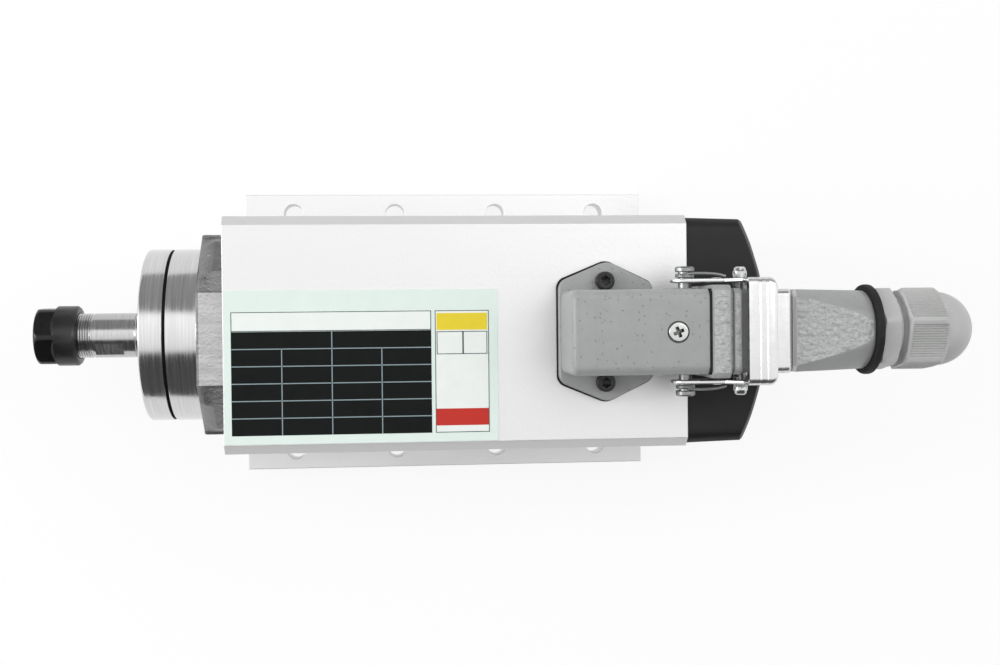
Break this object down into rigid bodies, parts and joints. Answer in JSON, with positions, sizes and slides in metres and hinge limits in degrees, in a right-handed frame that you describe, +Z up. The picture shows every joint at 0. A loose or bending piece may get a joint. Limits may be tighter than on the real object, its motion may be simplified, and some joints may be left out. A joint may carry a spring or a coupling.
{
  "type": "motor spindle",
  "caption": "Square motor spindle on a mounting flange, with a collet nose for shank tools, a domed fan cover, and a latched plug connector with a cable gland on its back",
  "frame": {"origin": "middle of the mounting holes, on the mounting face under the flange", "axes": "X along the spindle with the collet nose towards -X, Y across the flange, Z up out of the mounting face towards the connector"},
  "size_m": [0.2812, 0.095, 0.1088],
  "materials": {
    "body_aluminium": "bead-blasted and clear anodised",
    "cast_aluminium": "die cast, bare",
    "turned_steel": "finely turned",
    "ground_steel": "ground",
    "black_steel": "blackened",
    "bearing_steel": "polished",
    "lamination": "stacked sheet",
    "copper": "enamelled copper wire",
    "cage_aluminium": "cast",
    "fan_plastic": "moulded",
    "cover_plastic": "fine-grained moulding",
    "zinc_screw": "zinc plated",
    "plate_foil": "printed foil, pale green",
    "black_rubber": "matt",
    "grey_enamel": "fine-textured grey enamel",
    "latch_steel": "nickel-plated sheet",
    "insert_plastic": "moulded",
    "gland_plastic": "light grey polyamide",
    "lead_plastic": "insulated wire"
  },
  "bodies": {
    "housing": {"body_extrusion": "body_aluminium", "front_end_shield": "cast_aluminium", "front_bearing_cap": "turned_steel", "bearing_outer_rings": "bearing_steel", "preload_spring": "ground_steel", "stator_core": "lamination", "stator_windings": "copper", "rear_end_shield": "cast_aluminium", "rear_cover": "cover_plastic", "tie_bolts": "zinc_screw", "data_plate": "plate_foil", "connector_gasket": "black_rubber", "connector_base": "grey_enamel", "base_screws": "black_steel", "insert_screw": "zinc_screw", "socket_insert": "insert_plastic", "socket_contacts": "bearing_steel", "motor_leads": "lead_plastic", "pivot_pins": "zinc_screw", "plug_hood": "grey_enamel", "hood_seal": "black_rubber", "hood_pegs": "zinc_screw", "pin_insert": "insert_plastic", "pin_contacts": "bearing_steel", "gland_washer": "black_rubber", "gland_body": "gland_plastic"},
    "rotor": {"shaft": "ground_steel", "rotor_core": "lamination", "rotor_cage": "cage_aluminium", "bearing_inner_rings": "bearing_steel", "fan": "fan_plastic"},
    "ball_sets": {"ball_sets": "bearing_steel"},
    "collet": {"collet": "ground_steel"},
    "collet_nut": {"collet_nut": "black_steel"},
    "latch": {"latch_lever": "latch_steel", "latch_springs": "zinc_screw"},
    "gland_seal": {"gland_seal": "black_rubber"},
    "gland_nut": {"gland_nut": "gland_plastic"}
  },
  "joints": [
    {"name": "rotor_spin", "type": "hinge", "parent": "housing", "child": "rotor", "pos_m": [0, 0, 0.043], "axis": [1, 0, 0], "continuous": true},
    {"name": "ball_orbit", "type": "hinge", "parent": "housing", "child": "ball_sets", "pos_m": [0, 0, 0.043], "axis": [1, 0, 0], "continuous": true},
    {"name": "collet_slide", "type": "slide", "parent": "rotor", "child": "collet", "axis": [-1, 0, 0], "range_m": [0, 0.00937]},
    {"name": "nut_turn", "type": "hinge", "parent": "collet", "child": "collet_nut", "pos_m": [-0.125, 0, 0.043], "axis": [-1, 0, 0], "range_deg": [0, 4500]},
    {"name": "latch_turn", "type": "hinge", "parent": "housing", "child": "latch", "pos_m": [0.0648, 0, 0.0925], "axis": [0, -1, 0], "range_deg": [0, 90]},
    {"name": "gland_seal_slide", "type": "slide", "parent": "housing", "child": "gland_seal", "axis": [1, 0, 0], "range_m": [0, 0.0093]},
    {"name": "gland_nut_turn", "type": "hinge", "parent": "gland_seal", "child": "gland_nut", "pos_m": [0.135, 0, 0.0925], "axis": [1, 0, 0], "range_deg": [0, 2232]}
  ],
  "couplings": [
    {"joint": "ball_orbit", "follows": "rotor_spin", "ratio": 0.402},
    {"joint": "collet_slide", "follows": "nut_turn", "m_per_rad": 0.00011937},
    {"joint": "gland_seal_slide", "follows": "gland_nut_turn", "m_per_rad": 0.00023873}
  ]
}
